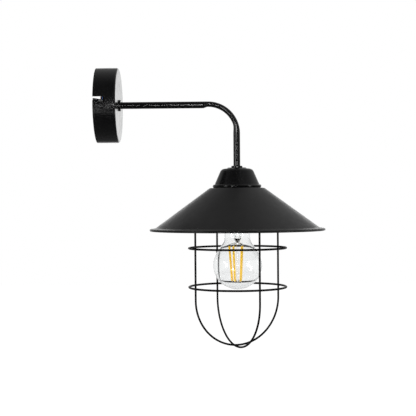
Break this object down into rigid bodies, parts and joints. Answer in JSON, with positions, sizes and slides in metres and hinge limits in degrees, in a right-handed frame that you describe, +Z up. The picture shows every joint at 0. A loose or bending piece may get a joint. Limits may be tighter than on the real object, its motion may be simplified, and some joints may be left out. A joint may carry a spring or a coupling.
{
  "type": "cage wall light",
  "caption": "Wall light with a round wall cup, a bent tube arm, a bell cap, a wide conical shade and a wire cage round a clear filament bulb.",
  "frame": {"origin": "centre of the cable hole at the bracket's back, in the wall's plane, on the arm's axis", "axes": "+X out of the wall along the arm, +Z up, Y across; the lamp hangs on the vertical axis at x = 0.168 m, y = 0"},
  "size_m": [0.2735, 0.211, 0.3382],
  "materials": {
    "black_paint": "satin black paint",
    "zinc": "bright zinc",
    "brass_plain": "plain brass",
    "block_nylon": "natural white nylon",
    "lead_brown": "brown insulation",
    "lead_blue": "blue insulation",
    "lead_green": "green and yellow insulation",
    "holder_plastic": "black moulded plastic",
    "insert_ceramic": "unglazed white ceramic",
    "clear_glass": "clear",
    "cap_nickel": "nickel plated",
    "insulator_black": "black moulding",
    "contact_solder": "solder",
    "filament_yellow": "yellow phosphor",
    "wire_nickel": "nickel wire"
  },
  "bodies": {
    "fixture": {"wall_bracket": "black_paint", "earth_screw": "brass_plain", "earth_washer": "brass_plain", "wall_cup": "black_paint", "arm_tube": "black_paint", "arm_collar_wall": "black_paint", "arm_collar_shade": "black_paint", "arm_washer": "zinc", "earth_tag": "zinc", "arm_nut": "zinc", "cap_nut": "zinc", "terminal_block": "block_nylon", "terminal_sleeves": "brass_plain", "terminal_screws": "zinc", "lead_live": "lead_brown", "lead_neutral": "lead_blue", "lead_earth": "lead_green", "shade_cap": "black_paint", "shade": "black_paint", "holder_dome": "holder_plastic", "holder_skirt": "holder_plastic", "holder_insert": "insert_ceramic", "holder_screw_shell": "brass_plain", "holder_centre_contact": "brass_plain", "holder_terminals": "brass_plain", "holder_terminal_screws": "zinc", "shade_ring": "holder_plastic", "cage_plate": "black_paint", "cage_upper_ring": "black_paint", "cage_lower_ring": "black_paint", "cage_hoop_wide": "black_paint", "cage_hoop_cross": "black_paint"},
    "bulb": {"bulb_glass": "clear_glass", "bulb_screw_cap": "cap_nickel", "bulb_insulator": "insulator_black", "bulb_stem": "clear_glass", "bulb_filaments": "filament_yellow", "bulb_clips": "wire_nickel", "bulb_supports": "wire_nickel", "bulb_lead_wires": "wire_nickel"},
    "bulb_contact": {"bulb_contact": "contact_solder"},
    "side_screw_near": {"side_screw_near": "black_paint"},
    "side_screw_far": {"side_screw_far": "black_paint"}
  },
  "joints": [
    {"name": "bulb_travel", "type": "slide", "parent": "fixture", "child": "bulb_contact", "axis": [0, 0, -1], "range_m": [0, 0.0219]},
    {"name": "bulb_turn", "type": "hinge", "parent": "bulb_contact", "child": "bulb", "pos_m": [0.168, 0, -0.12], "axis": [0, 0, -1], "range_deg": [0, 2160]},
    {"name": "side_screw_near_turn", "type": "hinge", "parent": "fixture", "child": "side_screw_near", "pos_m": [0.0101, -0.04483, -0.00392], "axis": [0, -0.9962, -0.0872], "range_deg": [0, 720]},
    {"name": "side_screw_far_turn", "type": "hinge", "parent": "fixture", "child": "side_screw_far", "pos_m": [0.0101, 0.04483, 0.00392], "axis": [0, 0.9962, 0.0872], "range_deg": [0, 720]}
  ],
  "couplings": [
    {"joint": "bulb_travel", "follows": "bulb_turn", "m_per_rad": 0.00057757}
  ]
}
